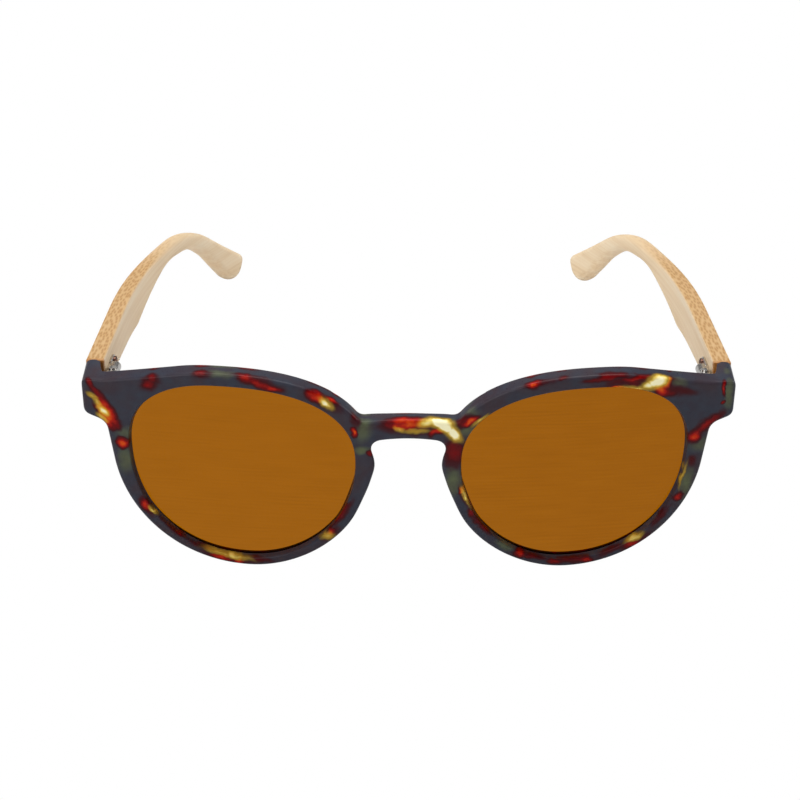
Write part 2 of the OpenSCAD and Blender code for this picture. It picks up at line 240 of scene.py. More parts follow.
rim = even(lens_ring(RIM_TOP, RIM_SIDE, RIM_LOW, RIM_FULL), RIM_STEP)
for shift, height, reach in NOSE_WAVES:
    wave = shift * np.exp(-((rim[:, 1] - height) / reach) ** 2)
    rim[:, 0] += np.where(rim[:, 0] < LOW_U, wave, 0)
nasal = np.where(rim[:, 0] < PEAK_U, np.abs(rim[:, 1] - (BRIDGE_TOP + BRIDGE_LOW) / 2), np.inf)
rim = np.roll(rim, -int(np.argmin(nasal)), axis=0)
# tangents from the flank and the brow corner touch the rim where the slope to them is steepest
outer = rim[:, 0] > LOW_U
slope_to_flank = (rim[:, 0] - FLANK[0]) / np.maximum(FLANK[1] - rim[:, 1], LEAST_RUN)
flank_touch = int(np.argmax(np.where(outer & (rim[:, 1] < OUT_V), slope_to_flank, -np.inf)))
slope_to_brow = (rim[:, 1] - BROW[1]) / np.maximum(BROW[0] - rim[:, 0], LEAST_RUN)
on_top = outer & (rim[:, 1] > OUT_V) & (rim[:, 0] < LENS_OUT - BROW_SHORT)
brow_touch = int(np.argmax(np.where(on_top, slope_to_brow, -np.inf)))
end_piece = rounded([rim[flank_touch], FLANK, END_LOW_CORNER, END_TOP_CORNER, BROW, rim[brow_touch]])

reach = np.linspace(0, ARCH_REACH, ARCH_STEPS)
bridge_under = np.stack([reach, BRIDGE_LOW - reach ** 2 / (2 * NOTCH_ARCH_R)], axis=1)
bridge_over = np.stack([reach, BRIDGE_TOP - reach ** 2 / (2 * BRIDGE_ARCH_R)], axis=1)[::-1]
half = np.vstack([fillet(bridge_under, rim[:flank_touch], NOTCH_FILLET), end_piece,
                  fillet(rim[brow_touch:], bridge_over, BRIDGE_FILLET)])
mirrored = half[::-1] * (-1, 1)
outline = soften(even(np.vstack([half, mirrored[1:-1]]), OUTLINE_STEP), OUTLINE_PASSES)
print("front outline:", len(outline), "points,", np.ptp(outline, axis=0).round(1), "mm")

# %% [markdown]
# ## A plate with soft edges
# The front and the temples are both plates with rounded edges, so one function makes them. It
# carries an edge profile round the outline and round each opening: a quarter round, the wall with
# any groove, and another quarter round. The flat faces between these bands are filled with small
# triangles, so that the back may rise into pads and end pieces as a height over the plan.

# %% Plate builder
EDGE_STEPS = 7
GRID_CLEAR, GRID_PART = 0.6, 2000
INNER_SIDES, WELD = 2, 1e-7


def band(contour, front_r, back_r, back_depth, splay, grooves=()):
    """Edge profile along a closed contour with the solid on its left, as rows of (u, v, depth)."""
    into = left_normal(contour)
    lead = splay(contour)[:, None]
    turn = np.linspace(0, math.pi / 2, EDGE_STEPS)
    rows = []
    radius = front_r(contour)[:, None]
    for angle in turn:
        flat = contour + radius * (1 - math.sin(angle)) * into
        rows.append(np.column_stack([flat, radius * (1 - math.cos(angle))]))
    for inset, depth in grooves:
        flat = contour + inset(contour)[:, None] * into
        rows.append(np.column_stack([flat, np.full(len(flat), depth)]))
    radius = back_r(contour)[:, None]
    for angle in turn[::-1]:
        flat = contour + (lead + radius * (1 - math.sin(angle))) * into
        depth = back_depth(flat) - radius[:, 0] * (1 - math.cos(angle))
        rows.append(np.column_stack([flat, depth]))
    return np.array(rows)


def inside(points, loops):
    """True where a point lies within an odd number of closed loops: it counts edges to its right."""
    odd = np.zeros(len(points), bool)
    for loop in loops:
        a, b = loop, np.roll(loop, -1, axis=0)
        spans = (a[:, 1] > points[:, 1:2]) != (b[:, 1] > points[:, 1:2])
        rise = np.where(b[:, 1] == a[:, 1], 1, b[:, 1] - a[:, 1])
        cross = a[:, 0] + (points[:, 1:2] - a[:, 1]) * (b[:, 0] - a[:, 0]) / rise
        odd ^= (np.sum(spans & (points[:, 0:1] < cross), axis=1) % 2).astype(bool)
    return odd


def fill(loops, spacing):
    """Triangles between closed loops, with a grid of inner points at this spacing."""
    edge = np.vstack(loops)
    low, high = edge.min(axis=0), edge.max(axis=0)
    u, v = np.meshgrid(np.arange(low[0], high[0], spacing), np.arange(low[1], high[1], spacing))
    grid = np.column_stack([u.ravel(), v.ravel()])
    grid = grid[inside(grid, loops)]
    gap = np.concatenate([np.linalg.norm(part[:, None] - edge[None], axis=2).min(axis=1)
                          for part in np.array_split(grid, max(1, len(grid) // GRID_PART))])
    grid = grid[gap > GRID_CLEAR * spacing]
    starts = np.cumsum([0] + [len(loop) for loop in loops])
    sides = [np.column_stack([np.arange(len(loop)), np.roll(np.arange(len(loop)), -1)]) + start
             for loop, start in zip(loops, starts)]
    _, _, faces, origin, _, _ = delaunay_2d_cdt(
        np.vstack([edge, grid]).tolist(), np.vstack(sides).tolist(), [], INNER_SIDES, WELD)
    source = np.array([ids[0] for ids in origin])
    triangles = source[np.array(faces)]
    middles = np.vstack([edge, grid])[triangles].mean(axis=1)
    return grid, triangles[inside(middles, loops)]


def quads(ids):
    """Four-sided faces between the rows of a grid of point numbers whose rows are closed."""
    after = np.roll(ids, -1, axis=1)
    return np.stack([ids[:-1], ids[1:], after[1:], after[:-1]], axis=-1).reshape(-1, 4)


def plate(bands, spacing, back_depth):
    """Plan points (u, v, depth) and faces of the solid between bands, filled in front and behind."""
    points, faces, front_ids, back_ids = [], [], [], []
    total = 0
    for rows in bands:
        count, around = rows.shape[:2]
        ids = total + np.arange(count * around).reshape(count, around)
        faces.append(quads(ids))
        points.append(rows.reshape(-1, 3))
        front_ids.append(ids[0])
        back_ids.append(ids[-1])
        total += count * around
    for row, ring_ids in ((0, front_ids), (-1, back_ids)):
        grid, triangles = fill([rows[row][:, :2] for rows in bands], spacing)
        depth = np.zeros(len(grid)) if row == 0 else back_depth(grid)
        ids = np.concatenate(ring_ids + [total + np.arange(len(grid))])
        points.append(np.column_stack([grid, depth]))
        triangles = ids[triangles]
        faces.append(triangles if row == 0 else triangles[:, ::-1])
        total += len(grid)
    return np.vstack(points), [face for part in faces for face in part.tolist()]


# %% Mesh helpers
SHARP = math.radians(42)


def closed_tube(a, b, c, poles):
    """Points and faces of a tube: a grid of closed rows, with a fan to a pole at each end."""
    ids = np.arange(a.size).reshape(a.shape)
    after = np.roll(ids, -1, axis=1)
    faces = quads(ids).tolist()
    for pole, ring, next_ring in ((0, ids[0], after[0]), (1, after[-1], ids[-1])):
        faces += np.column_stack([np.full(len(ring), ids.size + pole), ring, next_ring]).tolist()
    return np.vstack([np.stack([a, b, c], axis=-1).reshape(-1, 3), poles]), faces


def make_piece(name, points, faces, body, material, replaces, plan=None):
    """Puts points in metres and faces into a smooth closed mesh, and rides it on a body of the frame."""
    mesh = bpy.data.meshes.new(name)
    mesh.from_pydata(points.tolist(), [], faces)
    if plan is not None:
        layer = mesh.attributes.new("plan", "FLOAT_VECTOR", "POINT")
        layer.data.foreach_set("vector", np.ascontiguousarray(plan, dtype=np.float32).ravel())
    work = bmesh.new()
    work.from_mesh(mesh)
    bmesh.ops.recalc_face_normals(work, faces=work.faces)
    open_edges = sum(1 for edge in work.edges if len(edge.link_faces) != 2)
    work.to_mesh(mesh)
    work.free()
    mesh.shade_smooth()
    mesh.set_sharp_from_angle(angle=SHARP)
    mesh.materials.append(material)
    piece = bpy.data.objects.new(name, mesh)
    bpy.context.scene.collection.objects.link(piece)
    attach(piece, body)
    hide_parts(*replaces)
    print(name, "has", len(mesh.vertices), "points,", len(mesh.polygons), "faces,", open_edges, "open edges")
    return piece


# %% [markdown]
# ## Finishes
# A finish is a small tree of shader nodes. Colours are written as the hex values that a painter
# would pick on screen and are turned to the linear light that the renderer adds up. One function
# adds a node with its settings and its links, and everything else is built from it.

# %% Shader helpers
def linear(hex_colour):
    """Screen colour to linear light: the standard curve of each channel, with full opacity."""
    channels = np.array([int(hex_colour[i:i + 2], 16) for i in (1, 3, 5)]) / 255
    light = np.where(channels <= 0.04045, channels / 12.92, ((channels + 0.055) / 1.055) ** 2.4)
    return (*light.tolist(), 1.0)


def connect(tree, node, links):
    """Fills a node's inputs with plain values, outputs of other nodes, or the main output of a node."""
    for name, value in links.items():
        if isinstance(value, bpy.types.Node):
            value = next(socket for socket in value.outputs if socket.enabled)
        if isinstance(value, bpy.types.NodeSocket):
            tree.links.new(value, node.inputs[name])
        else:
            node.inputs[name].default_value = value


def add(tree, kind, links=None, stops=(), **settings):
    """Adds a node, sets its properties, fills its inputs, and sets a ramp's (place, hex colour) stops."""
    node = tree.nodes.new("ShaderNode" + kind)
    for name, value in settings.items():
        setattr(node, name, value)
    connect(tree, node, links or {})
    if stops:
        elements = node.color_ramp.elements
        while len(elements) < len(stops):
            elements.new(0.5)
        for element, (position, colour) in zip(elements, stops):
            element.position = position
            element.color = linear(colour)
    return node


def empty_tree(owner):
    """Turns nodes on for a material or a world, and clears them."""
    owner.use_nodes = True
    owner.node_tree.nodes.clear()
    return owner.node_tree


def new_finish(name):
    """An empty material with a principled shader wired to its output."""
    material = bpy.data.materials.new(name)
    tree = empty_tree(material)
    shader = add(tree, "BsdfPrincipled")
    add(tree, "OutputMaterial", {"Surface": shader})
    return material, tree, shader


# %% [markdown]
# ## Tortoiseshell plastic
# The front is injection-moulded plastic with a matte-tumbled skin. Its pattern is a dark slate
# ground with clouds that glow from deep red through orange to pale yellow in their cores. Each cloud
# is a soft ellipse placed on the front; the nearest ones melt together and give one heat value, and
# a ramp turns heat to colour. The gold clouds lie over the red ones on a layer of their own, so that
# gold fades to the slate through olive, and to the red through orange. Slow noise bends the places
# first, so that no cloud stays an ellipse. The depth is folded about the middle of the rim: its back
# shows the red clouds and the haze of its face.

# %% Tortoiseshell clouds
# u and v of the middle, half length, half width, turn in degrees, heat of the core
CLOUDS = [
    # left end piece, from its top corner down the flank
    (-70.1, 46.6, 1.1, 0.8, -60, 0.34), (-68.7, 44.4, 2.2, 0.8, -50, 0.36),
    (-67.4, 41.7, 2.6, 0.9, -50, 0.44), (-69.8, 43.3, 1.2, 0.6, -35, 0.70),
    (-68.9, 42.0, 1.6, 0.5, -50, 0.74), (-67.6, 39.9, 1.3, 0.7, -55, 1.00),
    (-66.7, 39.2, 3.2, 1.4, -62, 0.58), (-66.4, 37.0, 2.0, 0.9, -75, 0.47),
    (-67.9, 38.0, 1.4, 0.6, -42, 0.72), (-63.7, 31.6, 1.2, 1.1, 0, 0.56),
    # left brow
    (-56.0, 49.2, 1.3, 0.9, 75, 0.34), (-56.9, 47.7, 1.2, 1.0, 10, 0.34),
    (-45.0, 51.3, 1.5, 0.9, 0, 0.38), (-35.5, 50.8, 1.5, 1.2, -20, 0.42),
    (-32.4, 49.4, 2.6, 0.8, -22, 0.40), (-29.6, 48.5, 1.8, 0.6, -12, 0.44),
    (-20.2, 46.6, 2.0, 1.0, -25, 0.52), (-17.9, 45.0, 1.6, 0.9, -45, 1.00),
    (-16.2, 46.2, 1.6, 0.7, -35, 0.56), (-11.6, 41.7, 1.0, 0.9, 0, 0.30),
    # bridge
    (-12.2, 37.7, 1.1, 0.6, 100, 0.52), (-8.6, 32.3, 0.8, 0.7, 0, 0.36),
    (-0.6, 40.9, 3.8, 0.9, 0, 0.50), (-0.4, 39.8, 3.6, 1.2, 3, 0.58),
    (-2.2, 38.7, 1.1, 0.6, -30, 0.72), (1.4, 38.0, 2.8, 0.5, 0, 0.66),
    (4.4, 39.8, 2.0, 0.8, 8, 0.92), (7.0, 39.9, 2.2, 1.1, -8, 1.2),
    (9.8, 37.5, 1.9, 1.2, -55, 1.2), (8.2, 38.9, 1.6, 1.1, -35, 1.2),
    (6.2, 37.5, 1.5, 0.7, 10, 0.50), (10.2, 32.6, 3.4, 2.2, 90, 0.31),
    (13.5, 40.7, 1.8, 0.7, 35, 0.55), (15.7, 41.0, 1.9, 0.4, 40, 0.76),
    # right nasal side
    (12.1, 22.2, 0.8, 0.6, 100, 0.48), (13.1, 20.4, 2.4, 0.5, 113, 0.84),
    (14.2, 16.2, 1.2, 0.7, 115, 0.34), (17.7, 11.4, 1.3, 0.8, -50, 0.30),
    # right brow
    (26.9, 50.0, 1.6, 1.2, 0, 0.46), (27.2, 49.4, 0.8, 0.7, 0, 0.56),
    (33.1, 51.3, 1.2, 0.7, 0, 0.40), (43.0, 50.6, 4.0, 0.6, 6, 0.34),
    (49.0, 50.1, 3.8, 0.7, 6, 0.38), (54.2, 48.9, 2.0, 1.3, 15, 1.15),
    (52.4, 48.2, 1.4, 0.8, 0, 1.0), (49.6, 47.6, 3.4, 0.6, -6, 0.76),
    (44.8, 48.0, 2.2, 0.5, 0, 0.58), (55.4, 46.8, 1.6, 1.0, -20, 0.52),
    (56.5, 48.2, 1.5, 0.6, 70, 0.46),
    (57.2, 45.8, 1.6, 0.8, -12, 0.28), (61.0, 46.0, 2.6, 0.9, -12, 0.20),
    # right end piece and flank
    (70.0, 47.6, 1.1, 0.3, 0, 0.36), (69.3, 45.9, 1.5, 0.4, 95, 0.42),
    (69.5, 42.2, 0.6, 0.4, 90, 0.36), (66.5, 37.0, 3.6, 1.1, 40, 0.37),
    (63.6, 34.2, 1.4, 1.2, 40, 0.50), (63.6, 27.2, 1.0, 1.0, 0, 0.24),
    (61.9, 23.4, 2.8, 0.3, 80, 0.70), (61.2, 17.9, 1.0, 0.8, 60, 0.42),
    # right lower rim
    (51.7, 7.3, 2.0, 0.6, 31, 0.84), (51.5, 5.6, 1.6, 0.8, 28, 0.44),
    (41.0, 1.6, 1.4, 0.6, 0, 0.44), (33.7, 1.5, 1.3, 0.6, 0, 0.38),
    (25.8, 4.3, 1.1, 0.9, -20, 0.44),
    # left lower rim
    (-59.5, 15.2, 1.6, 0.7, -69, 0.46), (-57.9, 13.7, 1.2, 0.4, -55, 0.80),
    (-51.7, 7.9, 1.7, 0.6, -37, 0.48), (-41.2, 2.8, 4.4, 0.6, -12, 0.86),
    (-42.8, 1.9, 2.2, 0.6, -14, 0.50), (-38.8, 1.2, 1.1, 0.8, -5, 0.46),
    (-18.2, 9.3, 1.4, 0.9, 10, 0.72), (-17.0, 10.5, 1.1, 0.7, 40, 0.44),
    (-15.3, 15.2, 3.4, 0.5, 60, 0.32),
]
# the same for the grey-green haze between the clouds
HAZE = [
    (-63.0, 34.4, 1.8, 1.4, 0, 0.7), (-63.3, 27.4, 2.8, 1.4, 90, 0.8), (-40.6, 51.8, 2.8, 1.0, 0, 0.9),
    (-9.9, 39.2, 3.0, 1.4, 80, 0.9), (-10.4, 33.1, 1.6, 0.7, 5, 1.0), (12.8, 38.5, 1.4, 1.2, 0, 0.8),
    (13.3, 43.0, 1.6, 1.2, 0, 0.6), (10.1, 25.3, 2.8, 1.3, 90, 0.9), (58.2, 48.3, 1.6, 1.0, -10, 0.8),
    (70.5, 44.4, 3.0, 0.7, 90, 0.9), (64.8, 31.7, 1.8, 1.5, 0, 0.7), (62.8, 21.6, 3.2, 0.9, 80, 0.9),
    (22.0, 6.6, 1.8, 0.7, -30, 0.8), (9.2, 40.7, 1.0, 0.6, -30, 0.8), (-68.3, 41.0, 1.2, 0.7, -40, 0.8),
]
# and for the wide dark red smoke round the brightest clouds
SMOKE = [
    (-67.3, 41.0, 5.0, 1.7, -56, 0.24), (-33.0, 50.0, 6.0, 1.6, -20, 0.22), (-18, 45.5, 3.8, 1.8, -35, 0.24),
    (2.0, 39.5, 8.0, 2.2, 0, 0.25), (28.0, 50.1, 4.0, 1.4, 10, 0.20), (50.0, 49.2, 8.0, 1.6, 2, 0.24),
    (65.6, 36.4, 4.4, 1.5, 44, 0.24), (52.0, 6.2, 3.6, 1.3, 32, 0.25), (-41.0, 2.2, 6.0, 1.3, -10, 0.25),
    (-17.5, 10.0, 2.6, 1.4, 40, 0.25), (-59.0, 14.5, 2.8, 1.2, -62, 0.24), (13.0, 20.5, 3.0, 1.0, 113, 0.24),
    (-56.4, 48.4, 2.4, 1.8, 60, 0.22), (-45.0, 51.3, 2.4, 1.4, 0, 0.20), (63.6, 34.0, 2.0, 1.6, 40, 0.25),
    (-53.0, 9.0, 4.0, 1.0, -40, 0.26), (-46.5, 4.4, 3.2, 0.8, -22, 0.27), (-34.0, 2.0, 3.0, 0.7, -4, 0.24),
    (-14.6, 15.6, 4.0, 0.8, 60, 0.25), (16.6, 13.0, 3.6, 0.9, -58, 0.25), (28.0, 3.4, 4.0, 0.7, -18, 0.24),
    (38.0, 1.8, 5.0, 0.8, 2, 0.25), (46.6, 4.0, 3.0, 0.8, 26, 0.24), (57.6, 12.6, 3.4, 0.8, 52, 0.22),
    (12.0, 40.6, 2.6, 1.5, 30, 0.25), (-11.6, 40.4, 2.0, 1.2, 90, 0.20), (57.6, 46.6, 3.6, 1.4, -14, 0.22),
]
# middle of the rim, depth of the clouds' middles and their reach, and slope beyond the half widths
MID_DEPTH, CLOUD_DEPTH, CLOUD_REACH, CLOUD_SPREAD = 2.4, 2.2, 2.6, 2.25
# share of a cloud that is slope, where the end pieces start, least heat of gold, width of melting
CORE_SHARE, END_FROM, GOLD_FROM, MERGE = 0.95, 64.5, 0.64, 0.12
# columns of the tables
U, HEAT = 0, 5


def cloud_layer(tree, places, clouds):
    """Joins soft ellipses: each rises in a smooth slope from its edge to the flat heat of its core."""
    total = None
    for u, v, half_length, half_width, turn, heat in clouds:
        local = add(tree, "Mapping", {
            "Vector": places, "Location": (u, v, CLOUD_DEPTH),
            "Rotation": (0, 0, math.radians(turn)),
            "Scale": (CLOUD_SPREAD * half_length, CLOUD_SPREAD * half_width, CLOUD_REACH)},
            vector_type="TEXTURE")
        ball = add(tree, "TexGradient", {"Vector": local}, gradient_type="SPHERICAL")
        warm = add(tree, "MapRange", {
            "Value": ball.outputs["Fac"], "From Max": CORE_SHARE, "To Max": heat},
            interpolation_type="SMOOTHSTEP")
        if total is None:
            total = warm
        else:
            total = add(tree, "Math", {0: total, 1: warm, 2: MERGE}, operation="SMOOTH_MAX")
    return total


def cloud_places(tree, bent):
    """Places with the depth counted forwards from the middle of the rim, and the same folded there."""
    split = add(tree, "SeparateXYZ", {"Vector": bent}).outputs
    ahead = add(tree, "Math", {0: MID_DEPTH, 1: split["Z"]}, operation="SUBTRACT")
    from_mid = add(tree, "Math", {0: ahead}, operation="ABSOLUTE")
    return [add(tree, "CombineXYZ", {"X": split["X"], "Y": split["Y"], "Z": depth})
            for depth in (ahead, from_mid)]


print("clouds:", len(CLOUDS), "bright,", len(SMOKE), "of smoke,", len(HAZE), "of haze")

# %% Tortoiseshell finish
def tortoiseshell():
    """Matte-tumbled tortoiseshell plastic: soft sheen, colour in clouds a few millimetres wide."""
    material, tree, shader = new_finish("tortoiseshell plastic")
    plan = add(tree, "Attribute", attribute_name="plan").outputs["Vector"]
    bent = plan
    for wave_mm, detail, shift_mm in ((7.0, 1.0, 1.2), (2.6, 2.0, 1.7)):
        noise = add(tree, "TexNoise", {"Vector": plan, "Scale": 1 / wave_mm, "Detail": detail})
        centred = add(tree, "VectorMath", {0: noise.outputs["Color"], 1: (0.5, 0.5, 0.5)},
                      operation="SUBTRACT")
        shift = add(tree, "VectorMath", {0: centred, 1: 3 * (shift_mm,)}, operation="MULTIPLY")
        bent = add(tree, "VectorMath", {0: bent, 1: shift})
    on_face, on_both = cloud_places(tree, bent)
    reds = SMOKE + [cloud for cloud in CLOUDS if cloud[HEAT] < GOLD_FROM]
    golds = [cloud for cloud in CLOUDS if cloud[HEAT] >= GOLD_FROM]
    end_heat = cloud_layer(tree, on_face, [cloud for cloud in reds if abs(cloud[U]) > END_FROM])
    rim_heat = cloud_layer(tree, on_both, [cloud for cloud in reds if abs(cloud[U]) <= END_FROM])
    gold_heat = cloud_layer(tree, on_face, golds)
    haze = cloud_layer(tree, on_both, HAZE)
    mottle, ground_noise, skin = (
        add(tree, "TexNoise", {"Vector": plan, "Scale": 1 / size_mm, "Detail": 2.0})
        for size_mm in (2.2, 11.0, 0.35))
    uneven = add(tree, "MapRange", {
        "Value": mottle, "From Min": 0.3, "From Max": 0.7, "To Min": 0.88, "To Max": 1.1})
    hottest = add(tree, "Math", {0: end_heat, 1: rim_heat}, operation="MAXIMUM")
    red_heat = add(tree, "Math", {0: hottest, 1: uneven}, operation="MULTIPLY")
    ground = add(tree, "ValToRGB", {"Fac": ground_noise}, stops=[
        (0.32, "#2a364a"), (0.48, "#313a4c"), (0.6, "#3b323f"), (0.72, "#2e384a")])
    red = add(tree, "ValToRGB", {"Fac": red_heat}, stops=[
        (0.0, "#32323c"), (0.12, "#38222a"), (0.22, "#440a10"), (0.34, "#720206"), (0.46, "#b01c04"),
        (0.58, "#d6520c")])
    gold = add(tree, "ValToRGB", {"Fac": gold_heat}, stops=[
        (0.1, "#564a28"), (0.4, "#80682a"), (0.66, "#a8852c"), (0.84, "#e6cc66"), (1.0, "#fff8cc")])
    amber_gold = add(tree, "ValToRGB", {"Fac": gold_heat}, stops=[
        (0.1, "#b0400a"), (0.4, "#c87016"), (0.66, "#d49c30"), (0.84, "#e8cf6a"), (1.0, "#fff8cc")])
    glowing = add(tree, "MapRange", {"Value": red_heat, "From Min": 0.2, "From Max": 0.42})
    bright = add(tree, "Mix", {0: glowing, 6: gold, 7: amber_gold}, data_type="RGBA")
    red_shown, gold_shown = (
        add(tree, "MapRange", {"Value": heat, "From Min": low, "From Max": high},
            interpolation_type="SMOOTHSTEP")
        for heat, low, high in ((red_heat, 0.03, 0.18), (gold_heat, 0.06, 0.5)))
    colour = ground
    for share, layer in ((haze, linear("#68744e")), (red_shown, red), (gold_shown, bright)):
        colour = add(tree, "Mix", {0: share, 6: colour, 7: layer}, data_type="RGBA")
    rough = add(tree, "MapRange", {"Value": skin, "To Min": 0.24, "To Max": 0.34})
    bump = add(tree, "Bump", {"Height": skin, "Strength": 0.06, "Distance": 0.0001})
    connect(tree, shader, {
        "Base Color": colour, "Roughness": rough, "Normal": bump, "IOR": 1.49, "Specular IOR Level": 0.12})
    return material


tortoise = tortoiseshell()
print("tortoiseshell nodes:", len(tortoise.node_tree.nodes))

# %% [markdown]
# ## The front
# The face is bent like a strip of a large cylinder. Behind it the back rises in two kinds of place:
# the nose pads, moulded in one with the rim, and the end pieces, which reach back to meet the
# temples. Both are heights over the plan, so the same function gives the edge and the back face.

# %% Back of the front
RIM_DEPTH = 4.0
PAD_DEPTH, PAD_R, PAD_V = 3.2, 14.0, IN_V - 7.0
PAD_FADE, PAD_FADE_POWER = (13.0, 17.0), 0.7
NOSE_SPLAY, SPLAY_V, SPLAY_REACH = 1.2, 25.0, 9.0
SOFT_BRIDGE, BRIDGE_REACH = 0.6, 7.0
BLOCK_IN, BLOCK_CHAMFER, WALL_SLOPE = 67.9, 0.9, 6.0
SHELF_IN, SHELF_TOP, BLOCK_BASE = 64.4, HINGE_V + 2.2, END_LOW - 2.7
BUTT_CLEAR, SHELF_STEP = 0.02, 0.3
PAD_BLEND, BLOCK_BLEND = 0.5, 0.3
BACK_R, PAD_MORE_R, END_LESS_R, PAD_R_REACH = 0.5, 0.7, 0.3, 7.0


def soft_max(a, b, width):
    """The larger of two heights, with the corner between them rounded over this width."""
    mix = np.clip(0.5 + 0.5 * (a - b) / width, 0, 1)
    return b + (a - b) * mix + width * mix * (1 - mix)


def back_depth(points):
    """Depth of the back face: the rim, then nose pads and end pieces where these stand higher."""
    u, v = np.abs(points[:, 0]), points[:, 1]
    fade = np.clip((PAD_FADE[1] - u) / (PAD_FADE[1] - PAD_FADE[0]), 0, 1)
    bow = np.sqrt(np.maximum(PAD_R ** 2 - (v - PAD_V) ** 2, 0)) - PAD_R + PAD_DEPTH
    pad = RIM_DEPTH + np.where(np.abs(v - PAD_V) < PAD_R, bow, -PAD_DEPTH) * fade ** PAD_FADE_POWER
    butt = BUTT_W + (v - HINGE_V) * math.tan(FRONT_LEAN) - sag(u) - BUTT_CLEAR
    under = RIM_DEPTH + WALL_SLOPE * (v - BLOCK_BASE)
    wall = RIM_DEPTH + WALL_SLOPE * (u - BLOCK_IN)
    chamfer = butt - (BLOCK_IN + 2 * BLOCK_CHAMFER - u)
    block = np.minimum(np.minimum(butt, chamfer), np.minimum(wall, under))
    shelf_wall = RIM_DEPTH + WALL_SLOPE * np.minimum(u - SHELF_IN, SHELF_TOP - v)
    shelf = np.minimum(np.minimum(butt - SHELF_STEP, shelf_wall), under)
    rim_back = np.full(len(u), RIM_DEPTH)
    return soft_max(soft_max(rim_back, pad, PAD_BLEND), np.maximum(block, shelf), BLOCK_BLEND)


def back_radius(points):
    """Radius of the back edge: crisp at the ends, larger on the nose pads and on top of the bridge."""
    u, v = np.abs(points[:, 0]), points[:, 1]
    on_pad = np.exp(-((v - PAD_V) / PAD_R_REACH) ** 2) * (u < PAD_FADE[1])
    on_bridge = np.exp(-(u / BRIDGE_REACH) ** 4) * (v > (BRIDGE_TOP + BRIDGE_LOW) / 2)
    on_end = u > BLOCK_IN
    return BACK_R + PAD_MORE_R * on_pad + SOFT_BRIDGE * on_bridge - END_LESS_R * on_end


def nose_splay(points):
    """How far the wall leans away from the nose at its back, most behind the nose pads."""
    near = np.abs(points[:, 0]) < PAD_FADE[1]
    return NOSE_SPLAY * near * np.exp(-((points[:, 1] - SPLAY_V) / SPLAY_REACH) ** 2)


# %% Front mesh
EDGE_R, LENS_EDGE_R, LIP_R, BACK_LIP = 0.75, 0.4, 0.2, 0.5
GROOVE, LENS_RECESS, LENS_THICK, SEAT = 0.8, 1.6, 1.8, 0.03
WALL_LEAN, FRONT_GRID = 0.45, 0.5


def all_round(value):
    """A function that gives the same value at every place."""
    return lambda points: np.full(len(points), value)


def lens_wall(points):
    """The wall in front of a lens leans inwards with the bent face, most at the outer side."""
    return -WALL_LEAN * (points[:, 0] / LENS_OUT) ** 2


groove_rows = [(lens_wall, LENS_RECESS - SEAT), (all_round(GROOVE + SEAT), LENS_RECESS - SEAT),
               (all_round(GROOVE + SEAT), LENS_RECESS + LENS_THICK + SEAT),
               (all_round(BACK_LIP), LENS_RECESS + LENS_THICK + SEAT)]
bands = [band(outline, all_round(EDGE_R), back_radius, back_depth, nose_splay)]
for side in (1, -1):
    hole = opening[::-1] if side > 0 else opening * (-1, 1)
    bands.append(band(hole, all_round(LENS_EDGE_R), all_round(LIP_R), back_depth, all_round(BACK_LIP),
                      groove_rows))
front_plan, front_faces = plate(bands, FRONT_GRID, back_depth)
make_piece("front_shell", front_place(*front_plan.T), front_faces, "front", tortoise,
           ["front_frame"], front_plan)

# %% [markdown]
# ## Lenses
# A sun lens of this kind is a bent sheet of plastic tinted through its thickness, so it is amber
# where light passes and nearly black where it meets the rim. It is a disc in polar steps: rings of
# the opening's own outline shrinking to one point, in front and behind, joined by its edge.

# %% Lens finish
def amber_plastic():
    """Tinted polycarbonate, cast and polished: clear amber-brown with a weak, sharp reflection, and painted
    light in its tint: a shade lighter on the left lens, with faint painted reflection streaks.
    """
    material, tree, shader = new_finish("amber tinted polycarbonate")
    here = add(tree, "TexCoord").outputs["Object"]
    # painted light: the tint is a shade lighter on the left lens than on the right, and its faint streaks
    # are painted reflections
    wave_mm, reflection_streak_mm, painted_light_slope = 12.0, 0.5, 2.2
    per_wave, per_reflection_streak = 1 / (wave_mm * MM), 1 / (reflection_streak_mm * MM)
    wave = add(tree, "TexNoise", {"Vector": here, "Scale": per_wave})
    rough = add(tree, "MapRange", {"Value": wave, "To Min": 0.0, "To Max": 0.012})
    reflection_stretch = add(tree, "Mapping", {"Vector": here, "Scale": (per_wave, per_wave, per_reflection_streak)})
    reflection_streak = add(tree, "TexNoise", {"Vector": reflection_stretch, "Scale": 1.0, "Detail": 2.0})
    side = add(tree, "SeparateXYZ", {"Vector": here}).outputs["X"]
    painted_light_tone = add(tree, "Math", {0: side, 1: painted_light_slope, 2: reflection_streak}, operation="MULTIPLY_ADD")
    tint_and_painted_light = add(tree, "ValToRGB", {"Fac": painted_light_tone}, stops=[
        (0.3, "#9f5f06"), (0.5, "#9b5c04"), (0.7, "#965802")])
    connect(tree, shader, {"Base Color": tint_and_painted_light, "Roughness": rough, "Transmission Weight": 1.0, "IOR": 1.2})
    return material


amber = amber_plastic()
print("amber nodes:", len(amber.node_tree.nodes))

# %% Lens meshes
LENS_RINGS, LENS_STEP, RING_POWER = 28, 0.6, 0.8
LENS_BEVEL = 0.25


